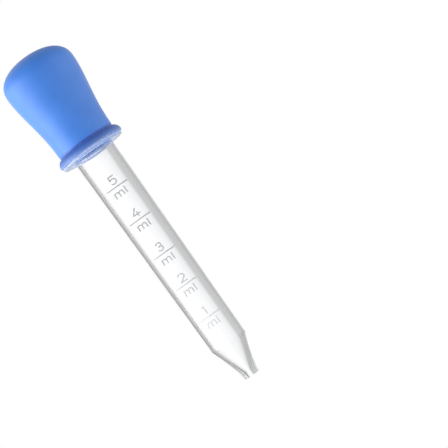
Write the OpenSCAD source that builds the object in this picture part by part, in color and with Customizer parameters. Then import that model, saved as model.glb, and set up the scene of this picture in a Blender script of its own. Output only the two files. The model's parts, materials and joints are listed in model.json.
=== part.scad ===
// Squeeze-bulb medicine dropper, 5 ml. Millimetres, +Z towards the bulb.
// The origin is the centre of the flange's underside, where the dropper seats on a bottle neck or rack.

/* [Barrel] */
// Outside diameter of the straight shank under the flange
shank_d = 12.9; // [12.5:0.1:13.5]
// Length of the straight shank under the flange
shank_length = 8; // [4:0.5:8]
// Outside diameter of the barrel where the nozzle starts
barrel_end_d = 11.7; // [11.2:0.1:12.4]
// Distance from the flange's underside to the start of the nozzle
barrel_length = 68; // [65:0.5:80]
// Wall thickness of the barrel under the flange
barrel_wall = 0.8; // [0.7:0.05:1.2]
// Wall thickness of the barrel where the nozzle starts
barrel_end_wall = 0.8; // [0.7:0.05:1.1]

/* [Nozzle] */
// Length of the nozzle
nozzle_length = 12; // [8:0.5:18]
// Outside diameter of the nozzle at its open end
nozzle_tip_d = 5; // [4.2:0.1:5.4]
// Diameter of the hole that the liquid passes
orifice_d = 3; // [1.2:0.1:3.2]
// Length of the straight part of that hole
orifice_length = 1.5; // [1:0.1:2.5]
// How strongly the nozzle's outside curves in: 1 is a straight cone
nozzle_curve = 1.35; // [1:0.05:1.6]

/* [Flange and spigot] */
// Diameter of the flange that the bulb sits on
flange_d = 20.4; // [19:0.1:21]
// Thickness of the flange
flange_thickness = 1; // [0.8:0.1:1.6]
// Height of the spigot above the flange
spigot_height = 9; // [6:0.5:10]
// Radius of the rounded edges of the barrel
edge_radius = 0.35; // [0.2:0.05:0.4]

/* [Bulb] */
// Height of the bulb above the flange
bulb_height = 33.2; // [30:0.1:36]
// Largest diameter of the bulb
belly_d = 23.4; // [22:0.1:26]
// Height of the largest diameter above the flange's underside
belly_z = 27; // [25.5:0.1:28]
// Outside diameter of the neck of the bulb
neck_d = 18.4; // [18:0.1:20]
// Outside diameter of the flared lip
lip_d = 21.5; // [20.8:0.1:23]
// Height of the flared lip
lip_height = 2.4; // [1.5:0.1:3.5]
// Wall thickness of the sides and the dome
bulb_wall = 1.7; // [1.3:0.1:2]
// Squareness of the dome: 2 is an ellipse, more is flatter on top
dome_squareness = 2.3; // [2:0.1:3]
// Radial clearance between the spigot and the neck's bore
neck_clearance = 0.05; // [0.02:0.01:0.1]

/* [Pinched walls] */
// Width of each wall area that the fingers push in
pinch_width = 12; // [8:0.5:12]
// Height above the flange's underside where the pushed area starts
pinch_bottom_z = 13; // [12.5:0.5:15]
// Height above the flange's underside where the pushed area ends
pinch_top_z = 27; // [24:0.5:28]
// Gap between a pushed area and the wall around it
pinch_gap = 0.3; // [0.25:0.05:0.5]

/* [Scale] */
// Depth of each graduation below the flange, from 5 ml down to 1 ml
graduation_depths = [12.5, 24, 36.1, 47.1, 58.6];
// Width of a graduation line
line_width = 6.8; // [5:0.1:8]
// Thickness of a graduation line
line_thickness = 0.4; // [0.3:0.05:0.6]
// Height of a numeral
numeral_height = 2.8; // [2:0.1:3]
// Thickness of the strokes of the numerals and letters
stroke = 0.36; // [0.3:0.02:0.5]
// How far the scale stands out of the barrel
relief = 0.25; // [0.15:0.05:0.4]

/* [Hidden] */
$fn = 128;

arc_steps = 5;
curve_steps = 14;
dome_steps = 18;

shank_r = shank_d / 2;
barrel_end_r = barrel_end_d / 2;
bore_r = shank_r - barrel_wall;
bore_end_r = barrel_end_r - barrel_end_wall;
flange_r = flange_d / 2;
orifice_r = orifice_d / 2;
nozzle_tip_r = nozzle_tip_d / 2;
spigot_top_z = flange_thickness + spigot_height;
barrel_end_z = -barrel_length;
tip_z = barrel_end_z - nozzle_length;
// The shoulder between the barrel and the nozzle
shoulder_drop = 0.4;
shoulder_inset = 0.15;
nozzle_base_r = barrel_end_r - shoulder_inset;
// The bore narrows with the nozzle, down to the straight orifice
funnel_top_z = barrel_end_z - 0.2;
orifice_top_z = tip_z + orifice_length;

// The lip floats a hair above the flange
lip_gap = 0.05;
lip_z = flange_thickness + lip_gap;
lip_r = lip_d / 2;
lip_edge_radius = 0.3;
lip_curve = 1.3;
neck_r = neck_d / 2;
neck_z = lip_z + lip_height;
neck_bore_r = shank_r + neck_clearance;
spigot_headroom = 0.5;
neck_bore_top_z = spigot_top_z + spigot_headroom;
bore_chamfer = 0.4;
belly_r = belly_d / 2;
bulb_top_z = flange_thickness + bulb_height;
side_curve = 1.2;
// The side starts this far above the crease
neck_step = 0.4;
// The neck's bore opens into the cavity over this height
neck_shoulder = 1.2;
cavity_floor_z = neck_bore_top_z + neck_shoulder;

// Places of the numeral and the letters around a graduation line
numeral_rise = 0.8;
letters_drop = 3.2;
letter_height = 1.85;
tall_letter_height = 2.3;
// The numerals are drawn at this height and then scaled
drawn_height = 3;
// The scale is sunk this far into the barrel's wall
relief_root = 0.1;

// Points of a quarter arc about [r, z], from one angle to another
function arc(r, z, radius, from, to) =
    [for (i = [0 : arc_steps]) let (a = from + (to - from) * i / arc_steps)
        [r + radius * cos(a), z + radius * sin(a)]];

// Nozzle's outside from its base down to the tip, narrowing along a power curve
function nozzle_side() =
    [for (i = [0 : curve_steps]) let (t = i / curve_steps)
        [nozzle_tip_r + (nozzle_base_r - nozzle_tip_r) * pow(1 - t, nozzle_curve),
         barrel_end_z - shoulder_drop
            - t * (nozzle_length - shoulder_drop - edge_radius)]];

// Lip's outside from its rounded foot up to the crease at the neck
function lip_side() =
    [for (i = [0 : curve_steps]) let (a = 90 * i / curve_steps, foot_z = lip_z + lip_edge_radius)
        [neck_r + (lip_r - neck_r) * pow(max(cos(a), 0), lip_curve),
         foot_z + (neck_z - foot_z) * sin(a)]];

// Bulb's side from the neck up to the belly, an S-curve, at a distance inside the outer face
function bulb_side(from_z, inset) =
    [for (i = [0 : curve_steps])
        let (z = from_z + (belly_z - from_z) * i / curve_steps,
             t = pow((z - neck_z) / (belly_z - neck_z), side_curve))
        [neck_r + (belly_r - neck_r) * t * t * (3 - 2 * t) - inset, z]];

// Bulb's dome from the belly up to the middle of the top, a superellipse
function bulb_dome(inset) =
    [for (i = [1 : dome_steps]) let (a = 90 * i / dome_steps)
        [(belly_r - inset) * pow(max(cos(a), 0), 2 / dome_squareness),
         belly_z + (bulb_top_z - inset - belly_z) * pow(sin(a), 2 / dome_squareness)]];

function reversed(points) = [for (i = [len(points) - 1 : -1 : 0]) points[i]];

// One moulding: spigot, flange, shank, tapered tube and nozzle, open from end to end
module barrel() {
    color([0.93, 0.95, 0.96, 0.45])
        rotate_extrude()
            polygon(concat(
                [[bore_r, spigot_top_z]],
                reversed(arc(shank_r - edge_radius, spigot_top_z - edge_radius, edge_radius, 0, 90)),
                [[shank_r, flange_thickness]],
                reversed(arc(flange_r - edge_radius, flange_thickness - edge_radius, edge_radius, 0, 90)),
                reversed(arc(flange_r - edge_radius, edge_radius, edge_radius, -90, 0)),
                [[shank_r, 0], [shank_r, -shank_length], [barrel_end_r, barrel_end_z]],
                nozzle_side(),
                reversed(arc(nozzle_tip_r - edge_radius, tip_z + edge_radius, edge_radius, -90, -10)),
                [[orifice_r, tip_z], [orifice_r, orifice_top_z], [bore_end_r, funnel_top_z]]
            ));
}

// Thin layer over the tapered tube that the raised scale is cut from
module relief_layer() {
    rotate_extrude()
        polygon([
            [shank_r - relief_root, -shank_length],
            [shank_r + relief, -shank_length],
            [barrel_end_r + relief, barrel_end_z],
            [barrel_end_r - relief_root, barrel_end_z]
        ]);
}

// Wraps a flat drawing, seen from -Y, on to the front of the barrel
module raised_on_barrel() {
    intersection() {
        relief_layer();
        rotate([90, 0, 0])
            linear_extrude(height = shank_d)
                children();
    }
}

// Straight stroke with round ends
module bar(x1, y1, x2, y2, width = stroke) {
    dx = x2 - x1;
    dy = y2 - y1;
    translate([x1, y1])
        rotate(atan2(dy, dx)) {
            translate([0, -width / 2])
                square([norm([dx, dy]), width]);
            circle(d = width, $fn = 16);
            translate([norm([dx, dy]), 0])
                circle(d = width, $fn = 16);
        }
}

// Curved stroke with round ends along an ellipse, anticlockwise from one angle to a larger one
module bow(x, y, half_width, half_height, from, to) {
    steps = ceil((to - from) / 15);
    angles = [for (i = [0 : steps]) from + (to - from) * i / steps];
    outer = [half_width, half_height] + [stroke, stroke] / 2;
    inner = [half_width, half_height] - [stroke, stroke] / 2;
    translate([x, y]) {
        polygon(concat(
            [for (a = angles) [outer[0] * cos(a), outer[1] * sin(a)]],
            [for (a = reversed(angles)) [inner[0] * cos(a), inner[1] * sin(a)]]
        ));
        for (a = [from, to])
            translate([half_width * cos(a), half_height * sin(a)])
                circle(d = stroke, $fn = 16);
    }
}

// Numerals about x = 0, with the height drawn_height
module numeral(value) {
    if (value == 1) {
        bar(-0.45, 2.35, 0.1, 2.82);
        bar(0.1, 2.82, 0.1, 0.18);
    }
    if (value == 2) {
        bow(0, 1.95, 1.05, 0.85, -30, 150);
        bar(0.87, 1.5, -1.05, 0.2);
        bar(-1.15, 0.18, 1.15, 0.18);
    }
    if (value == 3) {
        bow(-0.1, 2.14, 0.87, 0.68, -90, 150);
        bow(-0.1, 0.92, 0.93, 0.74, -150, 90);
        bar(-0.1, 1.56, -0.35, 1.56);
    }
    if (value == 4) {
        bar(0.4, 2.82, -1.15, 0.85);
        bar(-1.15, 0.85, 1.2, 0.85);
        bar(0.4, 1.5, 0.4, 0.18);
    }
    if (value == 5) {
        bar(-0.85, 2.82, 0.9, 2.82);
        bar(-0.85, 2.82, -0.95, 1.6);
        bow(-0.05, 1.03, 1.05, 0.85, -140, 138);
    }
}

// The letters "ml" on a common base line at y = 0
module millilitre() {
    m_left = -1.95;
    m_step = 1.35;
    l_x = 1.7;
    bend_y = letter_height - m_step / 2 - stroke / 2;
    for (i = [0 : 2])
        bar(m_left + i * m_step, stroke / 2, m_left + i * m_step, i == 0 ? letter_height - stroke / 2 : bend_y);
    for (i = [0 : 1])
        bow(m_left + (i + 0.5) * m_step, bend_y, m_step / 2, m_step / 2, 0, 180);
    bar(l_x, stroke / 2, l_x, tall_letter_height - stroke / 2);
}

// Five raised lines across the front of the barrel
module graduation_lines() {
    color([0.80, 0.82, 0.84])
        raised_on_barrel()
            for (depth = graduation_depths)
                bar(-line_width / 2, -depth, line_width / 2, -depth, line_thickness);
}

// Raised numerals 5 to 1, each above its line
module scale_numerals() {
    color([0.80, 0.82, 0.84])
        for (i = [0 : len(graduation_depths) - 1])
            raised_on_barrel()
                translate([0, numeral_rise - graduation_depths[i]])
                    scale(numeral_height / drawn_height)
                        numeral(5 - i);
}

// Raised "ml" under each line
module unit_marks() {
    color([0.80, 0.82, 0.84])
        raised_on_barrel()
            for (depth = graduation_depths)
                translate([0, -letters_drop - depth])
                    millilitre();
}

// The whole bulb as one turned shell: lip, neck, sides and dome
module bulb_body() {
    rotate_extrude()
        polygon(concat(
            [[neck_bore_r + bore_chamfer, lip_z]],
            arc(lip_r - lip_edge_radius, lip_z + lip_edge_radius, lip_edge_radius, -90, -10),
            lip_side(),
            bulb_side(neck_z + neck_step, 0),
            bulb_dome(0),
            reversed(bulb_dome(bulb_wall)),
            reversed(bulb_side(cavity_floor_z, bulb_wall)),
            [[neck_bore_r, neck_bore_top_z], [neck_bore_r, lip_z + bore_chamfer]]
        ));
}

// Block through the front wall (side = -1) or the back wall (side = 1), grown by a margin
module pinch_block(side, margin) {
    translate([-pinch_width / 2 - margin, side > 0 ? 0 : -belly_d, pinch_bottom_z - margin])
        cube([pinch_width + 2 * margin, belly_d, pinch_top_z - pinch_bottom_z + 2 * margin]);
}

// Silicone bulb without the two wall areas that the fingers push in
module bulb_shell() {
    color([0.25, 0.50, 0.90])
        difference() {
            bulb_body();
            for (side = [-1, 1])
                pinch_block(side, pinch_gap);
        }
}

// A wall area that the fingers push in
module pinch_wall(side) {
    intersection() {
        bulb_body();
        pinch_block(side, 0);
    }
}

module pinch_wall_front() {
    color([0.31, 0.57, 0.95])
        pinch_wall(-1);
}

module pinch_wall_back() {
    color([0.31, 0.57, 0.95])
        pinch_wall(1);
}

barrel();
graduation_lines();
scale_numerals();
unit_marks();
bulb_shell();
pinch_wall_front();
pinch_wall_back();
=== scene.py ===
"""Medicine dropper: a silicone squeeze bulb on a clear moulded barrel with a raised scale."""
import json
import math

import bmesh
import bpy
from mathutils import Matrix, Vector


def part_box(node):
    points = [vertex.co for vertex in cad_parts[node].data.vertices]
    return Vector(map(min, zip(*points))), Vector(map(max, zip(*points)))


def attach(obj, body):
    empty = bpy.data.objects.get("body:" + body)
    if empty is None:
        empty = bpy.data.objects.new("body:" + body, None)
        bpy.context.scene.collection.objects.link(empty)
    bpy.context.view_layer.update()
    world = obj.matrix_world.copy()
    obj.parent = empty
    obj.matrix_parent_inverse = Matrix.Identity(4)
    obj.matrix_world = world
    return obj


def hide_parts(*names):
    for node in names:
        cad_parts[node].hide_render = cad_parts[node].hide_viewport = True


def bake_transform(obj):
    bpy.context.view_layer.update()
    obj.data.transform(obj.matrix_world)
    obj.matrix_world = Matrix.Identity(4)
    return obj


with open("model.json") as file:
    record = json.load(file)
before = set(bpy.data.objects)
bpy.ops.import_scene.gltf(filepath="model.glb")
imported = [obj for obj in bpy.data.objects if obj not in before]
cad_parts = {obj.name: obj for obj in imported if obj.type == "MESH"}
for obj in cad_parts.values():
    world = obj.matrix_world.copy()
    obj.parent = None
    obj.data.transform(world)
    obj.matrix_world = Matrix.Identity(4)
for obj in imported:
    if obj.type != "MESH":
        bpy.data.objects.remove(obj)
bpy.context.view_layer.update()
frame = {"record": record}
MM = 0.001

# ---------------------------------------------------------------- sizes, in metres, from the frame
mounts = {mount["name"]: mount for mount in frame["record"]["mounts"]}
SHANK_R = mounts["shank"]["dims"]["r_mm"] * MM
SHANK_LENGTH = mounts["shank"]["dims"]["length_mm"] * MM
ORIFICE_R = mounts["nozzle_orifice"]["dims"]["r_mm"] * MM
ORIFICE_LENGTH = mounts["nozzle_orifice"]["dims"]["length_mm"] * MM

barrel_low, barrel_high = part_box("barrel")
TIP_Z = barrel_low.z
SPIGOT_TOP_Z = barrel_high.z
FLANGE_R = barrel_high.x

shell_low, shell_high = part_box("bulb_shell")
LIP_Z = shell_low.z
BULB_TOP_Z = shell_high.z
BELLY_R = max(shell_high.x, shell_high.y)

# Sizes that the frame's boxes don't give, the same as in the CAD
FLANGE_THICKNESS = 1.0 * MM
BARREL_END_Z = -68.0 * MM
BARREL_END_R = 5.85 * MM
BARREL_WALL = 0.8 * MM
BARREL_END_WALL = 0.8 * MM
FUNNEL_TOP_Z = -68.2 * MM
NOZZLE_TIP_R = 2.5 * MM
NOZZLE_CURVE = 1.35
NECK_R = 9.2 * MM
NECK_Z = 3.45 * MM
LIP_R = 10.75 * MM
LIP_EDGE_R = 0.3 * MM
LIP_CURVE = 1.3
BELLY_Z = 27.0 * MM
BULB_WALL = 1.7 * MM
SIDE_CURVE = 1.2
DOME_SQUARENESS = 2.3
SHOULDER_INSET = 0.15 * MM
SHOULDER_DROP = 0.4 * MM

# The silicone is pressed a hair into the plastic, so that no film of air shows between them
GRIP = 0.03 * MM

# ---------------------------------------------------------------- mesh helpers

SAME_POINT = 0.0001 * MM
SHARP_DEG = 40


def rounded(corners, steps=6):
    """Outline through (r, z, fillet radius) corners, each turned into a curve of about that radius."""
    points = []
    for i, (r, z, radius) in enumerate(corners):
        here = Vector((r, z))
        if radius <= 0 or i in (0, len(corners) - 1):
            points.append(here)
            continue
        before = Vector(corners[i - 1][:2]) - here
        after = Vector(corners[i + 1][:2]) - here
        half = before.angle(after) / 2
        reach = min(radius / math.tan(half), 0.49 * before.length, 0.49 * after.length)
        start = here + before.normalized() * reach
        end = here + after.normalized() * reach
        for k in range(steps + 1):
            t = k / steps
            points.append(start * (1 - t) ** 2 + here * 2 * t * (1 - t) + end * t ** 2)
    return points


def arc(r, z, radius, start, end, steps=8):
    """Points of an arc about (r, z), from one angle in degrees to another."""
    angles = [math.radians(start + (end - start) * i / steps) for i in range(steps + 1)]
    return [Vector((r + radius * math.cos(a), z + radius * math.sin(a))) for a in angles]


def turned(name, outline, segments, start_deg=0.0, sweep_deg=360.0):
    """Closed solid swept round Z from a closed outline of (r, z) points."""
    closed = sweep_deg >= 360
    rings = segments if closed else segments + 1
    mesh = bmesh.new()
    grid = []
    for i in range(rings):
        angle = math.radians(start_deg + sweep_deg * i / segments)
        c, s = math.cos(angle), math.sin(angle)
        grid.append([mesh.verts.new((p.x * c, p.x * s, p.y)) for p in outline])
    count = len(outline)
    for i in range(segments):
        here, there = grid[i], grid[(i + 1) % rings]
        for j in range(count):
            k = (j + 1) % count
            mesh.faces.new((here[j], there[j], there[k], here[k]))
    if not closed:
        mesh.faces.new(grid[0])
        mesh.faces.new(grid[-1])
    # The points on the axis are one point in all rings
    bmesh.ops.remove_doubles(mesh, verts=mesh.verts, dist=SAME_POINT)
    bmesh.ops.dissolve_degenerate(mesh, edges=mesh.edges, dist=SAME_POINT / 10)
    caps = [face for face in mesh.faces if len(face.verts) > 4]
    bmesh.ops.triangulate(mesh, faces=caps, ngon_method="EAR_CLIP")
    return finished(name, mesh)


def finished(name, mesh):
    """Links a bmesh as a smooth-shaded object, with its real edges kept sharp."""
    bmesh.ops.recalc_face_normals(mesh, faces=mesh.faces)
    for edge in mesh.edges:
        edge.smooth = len(edge.link_faces) == 2 and edge.calc_face_angle(0) < math.radians(SHARP_DEG)
    for face in mesh.faces:
        face.smooth = True
    data = bpy.data.meshes.new(name)
    mesh.to_mesh(data)
    mesh.free()
    piece = bpy.data.objects.new(name, data)
    bpy.context.scene.collection.objects.link(piece)
    return piece


# ---------------------------------------------------------------- materials

# Places of the colour sockets on a Mix node, where several sockets share a name
MIX_A, MIX_B, MIX_RESULT = 6, 7, 2

PIGMENT_COLOURS = [(0.3, (0.027, 0.166, 0.60)), (0.7, (0.036, 0.190, 0.66))]
# From a painted paler light at the lip's foot up over painted dark shade in the crease of the neck
CREASE_SHADE_AND_LIP_LIGHT_COLOURS = [
    (0.0, (0.24, 0.38, 0.76)),
    (0.03, (0.10, 0.19, 0.47)),
    (0.15, (0.065, 0.15, 0.45)),
    (0.28, (0.042, 0.125, 0.44)),
    (0.42, (0.022, 0.10, 0.41)),
    (0.60, (0.006, 0.07, 0.37)),
    (0.72, (0.003, 0.055, 0.34)),
    (0.85, (0.02, 0.13, 0.56)),
    (1.0, (0.03, 0.20, 0.72)),
]
# Painted light in the neck bore and under the lip: a lighter colour and a faint emission glow
BORE_PAINTED_LIGHT_COLOUR = (0.42, 0.64, 1.0, 1)
BORE_PAINTED_GLOW_COLOURS = [(0.0, (0, 0, 0)), (1.0, (0.17, 0.36, 0.92))]
# From the tube's own clear wall out to a painted blue in the flange, standing in for the blue bulb seen
# through it
CLEAR_TO_PAINTED_BULB_BLUE_COLOURS = [(0.0, (0.985, 0.99, 0.995)), (1.0, (0.62, 0.75, 0.97))]
# From the upper marks down to the nozzle
RELIEF_COLOURS = [(0.0, (0.80, 0.81, 0.82)), (1.0, (0.97, 0.97, 0.975))]
PLASTIC_IOR = 1.49
SILICONE_IOR = 1.5
BUMP_HEIGHT = 0.05 * MM


def node_tools(tree):
    """Helpers that add a node with its settings to a tree, and that link two sockets."""

    def add(kind, **settings):
        node = tree.nodes.new(kind)
        for key, value in settings.items():
            setattr(node, key, value)
        return node

    return add, tree.links.new


def new_material(name):
    """A material with its Principled shader and the helpers for its nodes."""
    material = bpy.data.materials.new(name)
    material.use_nodes = True
    return material, material.node_tree.nodes["Principled BSDF"], *node_tools(material.node_tree)


def noise(add, link, place, scale, detail=2):
    """Socket with a noise from 0 to 1."""
    node = add("ShaderNodeTexNoise")
    node.inputs["Scale"].default_value = scale
    node.inputs["Detail"].default_value = detail
    link(place, node.inputs["Vector"])
    return node.outputs["Fac"]


def mapped(add, link, value, start, end, low=0.0, high=1.0, curve="LINEAR"):
    """Socket that goes from low to high while the value goes from start to end."""
    node = add("ShaderNodeMapRange", interpolation_type=curve)
    for socket, level in (("From Min", start), ("From Max", end), ("To Min", low), ("To Max", high)):
        node.inputs[socket].default_value = level
    link(value, node.inputs["Value"])
    return node.outputs["Result"]


def coloured(add, link, value, stops):
    """Socket with the colour of a value, by (value, colour) stops in rising order."""
    node = add("ShaderNodeValToRGB")
    ramp = node.color_ramp
    for element, (position, colour) in zip((ramp.elements[0], ramp.elements[1]), (stops[0], stops[-1])):
        element.position = position
        element.color = (*colour, 1)
    for position, colour in stops[1:-1]:
        ramp.elements.new(position).color = (*colour, 1)
    link(value, node.inputs["Fac"])
    return node.outputs["Color"]


def product(add, link, a, b):
    """Socket with the product of two sockets."""
    node = add("ShaderNodeMath", operation="MULTIPLY")
    link(a, node.inputs[0])
    link(b, node.inputs[1])
    return node.outputs["Value"]


def height_of(add, link, place):
    """Socket with the height along Z."""
    split = add("ShaderNodeSeparateXYZ")
    link(place, split.inputs["Vector"])
    return split.outputs["Z"]


def off_axis(add, link, place):
    """Socket with the distance from the Z axis."""
    flat = add("ShaderNodeVectorMath", operation="MULTIPLY")
    flat.inputs[1].default_value = (1, 1, 0)
    link(place, flat.inputs[0])
    reach = add("ShaderNodeVectorMath", operation="LENGTH")
    link(flat.outputs["Vector"], reach.inputs[0])
    return reach.outputs["Value"]


def bump(add, link, shader, height, strength):
    """Roughens the shader's normal by a height from 0 to 1."""
    node = add("ShaderNodeBump")
    node.inputs["Strength"].default_value = strength
    node.inputs["Distance"].default_value = BUMP_HEIGHT
    link(height, node.inputs["Height"])
    link(node.outputs["Normal"], shader.inputs["Normal"])


def silicone_colour(add, link, place, bore_mask):
    """Socket with clouded pigment; below it, painted paler light on the lip and painted shade in the neck's
    crease; and the neck bore painted lighter.
    """
    pigment = coloured(add, link, noise(add, link, place, 140, 3), PIGMENT_COLOURS)
    height = mapped(add, link, height_of(add, link, place), LIP_Z, NECK_Z + 1.0 * MM)
    # Painted shade in the neck's crease and painted paler light at the lip's foot, by height
    painted_crease_and_lip = coloured(add, link, height, CREASE_SHADE_AND_LIP_LIGHT_COLOURS)
    tint = add("ShaderNodeMix", data_type="RGBA")
    link(mapped(add, link, height, 1.0, 0.8, curve="SMOOTHSTEP"), tint.inputs["Factor"])
    link(pigment, tint.inputs[MIX_A])
    link(painted_crease_and_lip, tint.inputs[MIX_B])
    # Painted light: the neck bore is coloured lighter
    painted_bore_light = add("ShaderNodeMix", data_type="RGBA")
    link(bore_mask, painted_bore_light.inputs["Factor"])
    link(tint.outputs[MIX_RESULT], painted_bore_light.inputs[MIX_A])
    painted_bore_light.inputs[MIX_B].default_value = BORE_PAINTED_LIGHT_COLOUR
    return painted_bore_light.outputs[MIX_RESULT]


def neck_bore_mask(add, link, place):
    """Socket that is 1 in the neck's bore and under the lip, and 0 on the outside and up in the cavity."""
    inside = mapped(add, link, off_axis(add, link, place), NECK_R - 0.4 * MM, NECK_R - 1.0 * MM,
                    curve="SMOOTHSTEP")
    low = mapped(add, link, height_of(add, link, place), NECK_Z + 3.0 * MM, NECK_Z + 1.5 * MM)
    return product(add, link, inside, low)


def silicone():
    """Soft matte blue silicone with an orange-peel grain and a skin sheen.

    Its neck bore is painted lighter and given a faint emission glow, both painted light standing in for
    daylight soaking through the soft wall.
    """
    material, shader, add, link = new_material("silicone")
    place = add("ShaderNodeTexCoord").outputs["Object"]
    bore_mask = neck_bore_mask(add, link, place)
    link(silicone_colour(add, link, place, bore_mask), shader.inputs["Base Color"])
    # Painted glow: a faint emission in the neck bore and under the lip
    link(coloured(add, link, bore_mask, BORE_PAINTED_GLOW_COLOURS), shader.inputs["Emission Color"])
    shader.inputs["Emission Strength"].default_value = 0.4
    grain = noise(add, link, place, 2600, 4)
    link(mapped(add, link, grain, 0, 1, 0.42, 0.54), shader.inputs["Roughness"])
    bump(add, link, shader, grain, 0.12)
    shader.inputs["IOR"].default_value = SILICONE_IOR
    shader.inputs["Sheen Weight"].default_value = 0.2
    shader.inputs["Sheen Roughness"].default_value = 0.5
    return material


def clear_plastic():
    """Clear injection-moulded plastic: faint flow lines along the tube, and a cloudy flange tinted with a
    painted blue of the bulb seen through it.
    """
    material, shader, add, link = new_material("clear_plastic")
    place = add("ShaderNodeTexCoord").outputs["Object"]
    stretch = add("ShaderNodeMapping")
    stretch.inputs["Scale"].default_value = (1, 1, 0.04)
    link(place, stretch.inputs["Vector"])
    flow = noise(add, link, stretch.outputs["Vector"], 420)
    bump(add, link, shader, flow, 0.001)

    flange = mapped(add, link, off_axis(add, link, place), SHANK_R + 0.02 * MM, SHANK_R + 0.5 * MM,
                    curve="SMOOTHSTEP")
    link(mapped(add, link, flange, 0, 1, 1.0, 0.65), shader.inputs["Transmission Weight"])
    # Painted blue in the flange, standing in for the bulb seen through it
    link(coloured(add, link, flange, CLEAR_TO_PAINTED_BULB_BLUE_COLOURS), shader.inputs["Base Color"])
    matt = add("ShaderNodeMath", operation="MULTIPLY_ADD")
    link(flange, matt.inputs[0])
    matt.inputs[1].default_value = 0.18
    link(mapped(add, link, flow, 0, 1, 0.0, 0.008), matt.inputs[2])
    link(matt.outputs["Value"], shader.inputs["Roughness"])
    shader.inputs["IOR"].default_value = PLASTIC_IOR
    return material


def frosted_relief():
    """The same plastic where the mould is etched: finely frosted, smoother towards the nozzle, and paler
    there.
    """
    material, shader, add, link = new_material("scale_relief")
    place = add("ShaderNodeTexCoord").outputs["Object"]
    frost = mapped(add, link, noise(add, link, place, 5000), 0, 1, 0.35, 0.55)
    nozzle_share = mapped(add, link, height_of(add, link, place), -30 * MM, -60 * MM)
    polish = mapped(add, link, nozzle_share, 0, 1, 1.0, 0.35)
    link(product(add, link, frost, polish), shader.inputs["Roughness"])
    # Paler towards the nozzle, so the lower marks show less
    link(coloured(add, link, nozzle_share, RELIEF_COLOURS), shader.inputs["Base Color"])
    shader.inputs["IOR"].default_value = PLASTIC_IOR
    shader.inputs["Transmission Weight"].default_value = 0.85
    return material


SILICONE = silicone()
CLEAR = clear_plastic()
RELIEF = frosted_relief()


def finish_piece(piece, material):
    """Gives a piece its material."""
    piece.data.materials.append(material)


# ---------------------------------------------------------------- barrel

# Fillet radii of the moulding
MOULD_EDGE = 0.35 * MM
FINE_EDGE = 0.2 * MM
FLANGE_ROOT = 0.5 * MM
TUBE_END_EDGE = 0.3 * MM
FUNNEL_EDGE = 0.5 * MM
ORIFICE_EDGE = 2.5 * MM

SPIGOT_MOUTH = 2 * MM
NOZZLE_STEPS = 20
BARREL_SEGMENTS = 256


def barrel_radius(z):
    """Outside radius of the tapered tube."""
    t = (-z - SHANK_LENGTH) / (-BARREL_END_Z - SHANK_LENGTH)
    return SHANK_R + (BARREL_END_R - SHANK_R) * min(max(t, 0), 1)


def barrel_inside(bore_r, bore_end_r):
    """Outline up the nozzle's rim, the orifice, the funnel and the tube's bore."""
    return rounded([
        (NOZZLE_TIP_R, TIP_Z + MOULD_EDGE, 0),
        (NOZZLE_TIP_R, TIP_Z, MOULD_EDGE),
        (ORIFICE_R, TIP_Z, FINE_EDGE),
        (ORIFICE_R, TIP_Z + ORIFICE_LENGTH, ORIFICE_EDGE),
        (bore_end_r, FUNNEL_TOP_Z, FUNNEL_EDGE),
        ((bore_r + bore_end_r) / 2, (SPIGOT_TOP_Z + FUNNEL_TOP_Z) / 2, 0),
    ])


def make_barrel():
    """Spigot, flange, shank, tube and nozzle as one closed moulding with radiused edges."""
    bore_r = SHANK_R - BARREL_WALL
    outside = rounded([
        (bore_r, SPIGOT_TOP_Z - SPIGOT_MOUTH, 0),
        (bore_r, SPIGOT_TOP_Z, FINE_EDGE),
        (SHANK_R, SPIGOT_TOP_Z, MOULD_EDGE),
        (SHANK_R, FLANGE_THICKNESS, 0),
        (FLANGE_R, FLANGE_THICKNESS, MOULD_EDGE),
        (FLANGE_R, 0, MOULD_EDGE),
        (SHANK_R, 0, FLANGE_ROOT),
        (SHANK_R, -SHANK_LENGTH, 0),
        (BARREL_END_R, BARREL_END_Z, TUBE_END_EDGE),
        (BARREL_END_R - SHOULDER_INSET, BARREL_END_Z - SHOULDER_DROP, 0),
    ])
    top = outside[-1]
    for i in range(1, NOZZLE_STEPS):
        t = i / NOZZLE_STEPS
        r = NOZZLE_TIP_R + (top.x - NOZZLE_TIP_R) * (1 - t) ** NOZZLE_CURVE
        outside.append(Vector((r, top.y + t * (TIP_Z + MOULD_EDGE - top.y))))
    outline = outside + barrel_inside(bore_r, BARREL_END_R - BARREL_END_WALL)
    piece = turned("barrel_moulding", outline, BARREL_SEGMENTS)
    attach(piece, "barrel")
    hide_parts("barrel")
    finish_piece(piece, CLEAR)


make_barrel()

# ---------------------------------------------------------------- raised scale

# The drawings on the barrel are in millimetres: x to the right, y up from the flange's underside
GRADUATION_DEPTHS = [12.5, 24.0, 36.1, 47.1, 58.6]
LINE_WIDTH = 6.8
NUMERAL_RISE = 0.8
UNIT_DROP = 3.2
STROKE = 0.40
RELIEF_ROOT = 0.06
# The mould is worn towards the nozzle, so the lower marks stand out less
RELIEF_HEIGHTS = [0.25, 0.25, 0.20, 0.12, 0.07]
VOXEL = 0.04
# A stroke's rounded top, as shares of its half width and its height
CROWN = [(-0.92, 0.45), (-0.6, 0.85), (0.0, 1.0), (0.6, 0.85), (0.92, 0.45)]
# A stroke's rounded ends, as shares of its half width: how far out, and how wide there
ENDS = [(0.99, 0.12), (0.8, 0.6), (0.5, 0.87)]


def line(x1, y1, x2, y2):
    """The two ends of a straight stroke."""
    return [(x1, y1), (x2, y2)]


def bow(x, y, half_width, half_height, start, end):
    """Points along an elliptical arc of a stroke's middle line."""
    steps = math.ceil((end - start) / 10)
    angles = [math.radians(start + (end - start) * i / steps) for i in range(steps + 1)]
    return [(x + half_width * math.cos(a), y + half_height * math.sin(a)) for a in angles]


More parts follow.
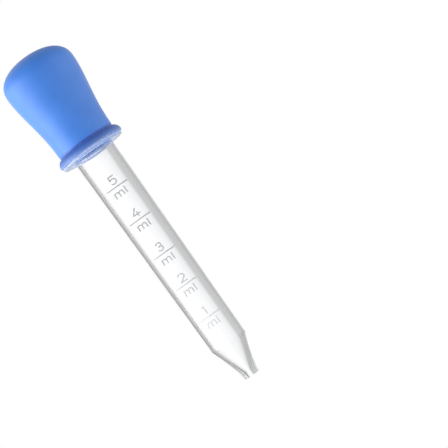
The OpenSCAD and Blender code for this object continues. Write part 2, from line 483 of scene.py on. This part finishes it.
# Middle lines of the strokes, in millimetres about the barrel's front line. The numerals are drawn
# at 3 mm and made at 2.8 mm.
NUMERAL_SCALE = 2.8 / 3
NUMERALS = {
    1: [[(-0.45, 2.35), (0.1, 2.82), (0.1, 0.18)]],
    2: [bow(0, 1.95, 1.05, 0.85, -30, 150), line(0.87, 1.5, -1.05, 0.2), line(-1.15, 0.18, 1.15, 0.18)],
    3: [bow(-0.1, 2.14, 0.87, 0.68, -90, 150), bow(-0.1, 0.92, 0.93, 0.74, -150, 90),
        line(-0.35, 1.56, -0.1, 1.56)],
    4: [line(0.4, 2.82, -1.15, 0.85), line(-1.15, 0.85, 1.2, 0.85), line(0.4, 1.5, 0.4, 0.18)],
    5: [line(-0.85, 2.82, 0.9, 2.82), line(-0.85, 2.82, -0.95, 1.6),
        bow(-0.05, 1.03, 1.05, 0.85, -140, 138)],
}
MILLILITRE = [
    line(-1.95, 0.2, -1.95, 1.65),
    line(-0.6, 0.2, -0.6, 1.0),
    line(0.75, 0.2, 0.75, 1.0),
    bow(-1.275, 1.0, 0.675, 0.675, 0, 180),
    bow(0.075, 1.0, 0.675, 0.675, 0, 180),
    line(1.7, 0.2, 1.7, 2.12),
]


def on_barrel(x, y, lift):
    """A point of a flat drawing, in millimetres, laid on the barrel's front and lifted off it."""
    r = barrel_radius(y * MM)
    angle = math.asin(x * MM / r)
    reach = r + lift
    return Vector((reach * math.sin(angle), -reach * math.cos(angle), y * MM))


def spaced(path, step=0.12):
    """The path with points at most a step apart."""
    points = [Vector(path[0])]
    for a, b in zip(path, path[1:]):
        a, b = Vector(a), Vector(b)
        count = max(1, math.ceil((b - a).length / step))
        points += [a.lerp(b, i / count) for i in range(1, count + 1)]
    return points


def add_stroke(mesh, path, height):
    """Adds one closed ridge with a rounded top and round ends along a flat path."""
    half = STROKE / 2
    top = [(across, share * height) for across, share in CROWN]
    section = [(-1.0, -RELIEF_ROOT), *top, (1.0, -RELIEF_ROOT)]
    points = spaced(path)
    first = (points[0] - points[1]).normalized()
    last = (points[-1] - points[-2]).normalized()
    stations = [(points[0] + first * half * out, -first, size) for out, size in ENDS]
    for i, point in enumerate(points):
        ahead = points[min(i + 1, len(points) - 1)] - points[max(i - 1, 0)]
        stations.append((point, ahead.normalized(), 1.0))
    stations += [(points[-1] + last * half * out, last, size) for out, size in reversed(ENDS)]
    rings = []
    for point, ahead, size in stations:
        side = Vector((-ahead.y, ahead.x))
        ring = []
        for across, rise in section:
            spot = point + side * (across * half * size)
            lift = rise if rise < 0 else rise * size ** 0.5
            ring.append(mesh.verts.new(on_barrel(spot.x, spot.y, lift * MM)))
        rings.append(ring)
    count = len(section)
    for here, there in zip(rings, rings[1:]):
        for j in range(count):
            k = (j + 1) % count
            mesh.faces.new((here[j], here[k], there[k], there[j]))
    mesh.faces.new(rings[0])
    mesh.faces.new(rings[-1])


def make_relief(name, node, rise, drawings, scale=1.0):
    """One kind of raised mark beside every graduation, its strokes joined into a single skin."""
    mesh = bmesh.new()
    for depth, height, paths in zip(GRADUATION_DEPTHS, RELIEF_HEIGHTS, drawings):
        for path in paths:
            add_stroke(mesh, [(x * scale, y * scale + rise - depth) for x, y in path], height)
    piece = finished(name, mesh)
    remesh = piece.modifiers.new("join", "REMESH")
    remesh.mode = "VOXEL"
    remesh.voxel_size = VOXEL * MM
    remesh.use_smooth_shade = True
    bpy.context.view_layer.update()
    joined = bpy.data.meshes.new_from_object(piece.evaluated_get(bpy.context.evaluated_depsgraph_get()))
    piece.modifiers.clear()
    piece.data = joined
    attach(piece, "barrel")
    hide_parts(node)
    finish_piece(piece, RELIEF)


GRADUATION = [line(-LINE_WIDTH / 2, 0, LINE_WIDTH / 2, 0)]
make_relief("raised_lines", "graduation_lines", 0.0, [GRADUATION] * len(GRADUATION_DEPTHS))
make_relief("raised_numerals", "scale_numerals", NUMERAL_RISE,
            [NUMERALS[value] for value in sorted(NUMERALS, reverse=True)], NUMERAL_SCALE)
make_relief("raised_units", "unit_marks", -UNIT_DROP, [MILLILITRE] * len(GRADUATION_DEPTHS))

# ---------------------------------------------------------------- bulb

# The skin's middle ring, where the pinch is deepest, lies between these heights
DENT_LOW_Z = 17.0 * MM
DENT_HIGH_Z = 22.0 * MM
# The neck keeps its shape to this height above the crease
# Depth and fillet radius of the crease where the neck meets the lip
NECK_CREASE = 0.2 * MM
# Heights above the neck where the crease's curve ends and where the side's own points start
CREASE_END = 0.8 * MM
SIDE_START = 1.2 * MM
SPIGOT_CLEARANCE = 0.5 * MM
CAVITY_FLOOR = 1.2 * MM
LIP_STEPS = 20
BULB_SEGMENTS = 96


def side_point(z, inset):
    """A point on the bulb's side between the neck and the belly."""
    t = ((z - NECK_Z) / (BELLY_Z - NECK_Z)) ** SIDE_CURVE
    return Vector((NECK_R + (BELLY_R - NECK_R) * t * t * (3 - 2 * t) - inset, z))


def side(low, high, inset, step=0.5 * MM):
    """Points up the bulb's side between two heights."""
    count = math.ceil((high - low) / step)
    return [side_point(low + (high - low) * i / count, inset) for i in range(count + 1)]


def dome(inset, steps=36):
    """The bulb's top from the belly to the axis, a superellipse."""
    points = []
    for i in range(1, steps + 1):
        angle = math.pi / 2 * i / steps
        r = (BELLY_R - inset) * max(math.cos(angle), 0) ** (2 / DOME_SQUARENESS)
        z = BELLY_Z + (BULB_TOP_Z - inset - BELLY_Z) * math.sin(angle) ** (2 / DOME_SQUARENESS)
        points.append(Vector((r if i < steps else 0.0, z)))
    return points


def lower_bulb():
    """Outline of the lip, neck and lower side, from the bore's mouth round to the cavity."""
    bore_r = SHANK_R - GRIP
    bore_top = SPIGOT_TOP_Z + SPIGOT_CLEARANCE
    floor_z = bore_top + CAVITY_FLOOR
    foot_z = FLANGE_THICKNESS - GRIP
    bore = [Vector((bore_r, bore_top)), Vector((bore_r, foot_z))]
    edge_z = foot_z + LIP_EDGE_R
    foot = arc(LIP_R - LIP_EDGE_R, edge_z, LIP_EDGE_R, -90, -10)
    lip = []
    for i in range(LIP_STEPS):
        angle = math.pi / 2 * i / LIP_STEPS
        lip.append(Vector((NECK_R + (LIP_R - NECK_R) * math.cos(angle) ** LIP_CURVE,
                           edge_z + (NECK_Z - edge_z) * math.sin(angle))))
    crease = rounded([(*lip[-1], 0), (NECK_R - NECK_CREASE, NECK_Z, NECK_CREASE),
                      (*side_point(NECK_Z + CREASE_END, 0), 0)])
    inside = side(floor_z, DENT_LOW_Z, BULB_WALL)
    return bore + foot + lip + crease[1:] + side(NECK_Z + SIDE_START, DENT_LOW_Z, 0) + inside[::-1]


def middle_bulb():
    """Outline of the ring of side between the two ends of the dent."""
    return side(DENT_LOW_Z, DENT_HIGH_Z, 0) + side(DENT_LOW_Z, DENT_HIGH_Z, BULB_WALL)[::-1]


def upper_bulb():
    """Outline of the upper side and the dome."""
    outside = side(DENT_HIGH_Z, BELLY_Z, 0) + dome(0)
    inside = side(DENT_HIGH_Z, BELLY_Z, BULB_WALL) + dome(BULB_WALL)
    return outside + inside[::-1]


def make_bulb():
    """Six soft pieces of one skin: the lower, middle and upper rings, each cut into a front and a back half.
    """
    rings = (("lower", lower_bulb(), 1, DENT_LOW_Z), ("middle", middle_bulb(), 0, DENT_LOW_Z),
             ("upper", upper_bulb(), -1, DENT_HIGH_Z))
    for facing, start_deg in (("front", 180.0), ("back", 0.0)):
        for ring, outline, lean, ring_z in rings:
            piece = turned(f"bulb_{ring}_{facing}", outline, BULB_SEGMENTS, start_deg, 180.0)
            finish_piece(piece, SILICONE)
            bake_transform(piece)
            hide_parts(f"pinch_wall_{facing}" if ring == "lower" else "bulb_shell")


make_bulb()

# ---------------------------------------------------------------- camera, light and floor

CAMERA_DISTANCE = 460 * MM
# Width of the picture, measured at the dropper
FRAME_WIDTH = 131.4 * MM
CAMERA_ELEVATION = math.radians(-0.7)
AXIS_TILT = math.radians(54.52)
# The dropper's middle, and where it stands from the middle of the picture
MIDDLE_Z = -22.8 * MM
MIDDLE_RIGHT = -25.0 * MM
MIDDLE_UP = 2.4 * MM

TABLE_R = 300 * MM
TABLE_DROP = 120 * MM
# Key light, in metres and watts
KEY_PLACE = (-0.64, -0.16, 0.06)
KEY_SIZE = 0.7
KEY_POWER = 4.9
# Brightness of the walls by bearing in degrees: 0 is behind the dropper, 90 its right, 180 the camera's side
WALL_LEVELS = [(-180, 0.85), (-130, 1.4), (-105, 2.0), (-75, 2.0), (-50, 1.2), (0, 0.9), (50, 0.9), (80, 1.6),
               (105, 1.9), (135, 1.5), (180, 0.85)]
# What the clear plastic refracts instead: bright behind, with grey cards at both sides
CARD_SPREAD = 60
CARD_LEVELS = [(-60, 0.85), (-42, 0.42), (-32, 0.06), (-25, 0.1), (-22, 0.3), (-19, 0.46), (-16.6, 0.55),
               (-15.5, 0.64), (-13, 0.81), (-10.2, 0.93), (-8.4, 1.02), (-5, 1.15), (-3, 1.1), (-2, 1.03),
               (-1, 0.99), (-0.4, 0.97), (0.3, 0.92), (1.4, 0.88), (2.2, 0.82), (3, 0.74), (3.6, 0.66),
               (4.2, 0.56), (5, 0.5), (12, 0.49), (16, 0.45), (22, 0.5), (34, 0.43), (48, 0.42), (60, 0.7)]
# Brightness by the sine of the elevation
HEIGHT_LEVELS = [(-1, 0.7), (-0.4, 0.85), (-0.15, 1.0), (0.15, 1.0), (0.4, 0.5), (0.8, 0.25), (1, 0.2)]


def make_camera():
    """Looks along +Y, rolled so that the bulb points up and left."""
    back = Vector((0, -math.cos(CAMERA_ELEVATION), math.sin(CAMERA_ELEVATION)))
    level_right = Vector((1, 0, 0))
    level_up = back.cross(level_right)
    right = level_right * math.sin(AXIS_TILT) - level_up * math.cos(AXIS_TILT)
    up = back.cross(right)
    aim = Vector((0, 0, MIDDLE_Z)) - right * MIDDLE_RIGHT - up * MIDDLE_UP
    data = bpy.data.cameras.new("camera")
    data.sensor_width = 36
    data.lens = data.sensor_width * CAMERA_DISTANCE / FRAME_WIDTH
    data.clip_start = 0.01
    data.clip_end = 20
    camera = bpy.data.objects.new("camera", data)
    bpy.context.scene.collection.objects.link(camera)
    camera.rotation_mode = "QUATERNION"
    camera.rotation_quaternion = Matrix((right, up, back)).transposed().to_quaternion()
    camera.location = aim + back * CAMERA_DISTANCE
    bpy.context.scene.camera = camera


def make_softbox(name, place, size, power):
    """A square soft light aimed at the flange, and not seen through the clear plastic."""
    data = bpy.data.lights.new(name, "AREA")
    data.size = size
    data.energy = power
    light = bpy.data.objects.new(name, data)
    light.visible_transmission = False
    bpy.context.scene.collection.objects.link(light)
    light.location = place
    light.rotation_mode = "QUATERNION"
    light.rotation_quaternion = (-Vector(place)).to_track_quat("-Z", "Y")


def grey_levels(add, link, value, low, high, stops):
    """Socket with the grey level of a value, by (value, level) stops between two limits."""
    shares = [((place - low) / (high - low), (level, level, level)) for place, level in stops]
    return coloured(add, link, mapped(add, link, value, low, high), shares)


def bearing(add, link, direction):
    """Socket with the bearing of a direction in degrees: 0 is behind the dropper, 90 is its right."""
    turn = add("ShaderNodeMath", operation="ARCTAN2")
    link(direction["X"], turn.inputs[0])
    link(direction["Y"], turn.inputs[1])
    degrees = add("ShaderNodeMath", operation="DEGREES")
    link(turn.outputs["Value"], degrees.inputs[0])
    return degrees.outputs["Value"]


def make_world():
    """Pale studio: walls that are brightest at both sides of the dropper, and dim overhead.

    The camera itself sees plain white. The clear plastic refracts the cards instead of the walls.
    """
    world = bpy.data.worlds.new("studio")
    bpy.context.scene.world = world
    world.use_nodes = True
    add, link = node_tools(world.node_tree)
    split = add("ShaderNodeSeparateXYZ")
    link(add("ShaderNodeTexCoord").outputs["Generated"], split.inputs["Vector"])
    degrees = bearing(add, link, split.outputs)
    walls = grey_levels(add, link, degrees, -180, 180, WALL_LEVELS)
    cards = grey_levels(add, link, degrees, -CARD_SPREAD, CARD_SPREAD, CARD_LEVELS)
    height = grey_levels(add, link, split.outputs["Z"], -1, 1, HEIGHT_LEVELS)
    seen = add("ShaderNodeMix")
    link(add("ShaderNodeLightPath").outputs["Is Transmission Ray"], seen.inputs["Factor"])
    link(product(add, link, walls, height), seen.inputs["A"])
    link(cards, seen.inputs["B"])
    room = world.node_tree.nodes["Background"]
    room.inputs["Color"].default_value = (1, 1, 1, 1)
    link(seen.outputs["Result"], room.inputs["Strength"])
    white_for_camera(world.node_tree, "ShaderNodeBackground", room, "World Output")


def white_for_camera(tree, white_kind, shader, output):
    """Shows a shader to light and reflections, and plain white where the camera looks straight at it."""
    add, link = node_tools(tree)
    white = add(white_kind)
    white.inputs["Color"].default_value = (1, 1, 1, 1)
    mix = add("ShaderNodeMixShader")
    link(add("ShaderNodeLightPath").outputs["Is Camera Ray"], mix.inputs["Fac"])
    link(shader.outputs[0], mix.inputs[1])
    link(white.outputs[0], mix.inputs[2])
    link(mix.outputs["Shader"], tree.nodes[output].inputs["Surface"])


def make_floor():
    """Plain round white table, below the nozzle."""
    mesh = bmesh.new()
    bmesh.ops.create_circle(mesh, cap_ends=True, segments=128, radius=TABLE_R)
    floor = finished("floor", mesh)
    floor.location.z = TIP_Z - TABLE_DROP
    material, shader, add, link = new_material("floor")
    paper = noise(add, link, add("ShaderNodeTexCoord").outputs["Object"], 300)
    link(mapped(add, link, paper, 0, 1, 0.80, 0.82), shader.inputs["Base Color"])
    shader.inputs["Roughness"].default_value = 0.9
    white_for_camera(material.node_tree, "ShaderNodeEmission", shader, "Material Output")
    floor.data.materials.append(material)


make_camera()
make_world()
make_floor()
make_softbox("key", KEY_PLACE, KEY_SIZE, KEY_POWER)
bpy.context.scene.view_settings.view_transform = "Standard"
# The flange traps light in many inner reflections
bpy.context.scene.cycles.max_bounces = 24
bpy.context.scene.cycles.glossy_bounces = 16
bpy.context.scene.cycles.transmission_bounces = 24
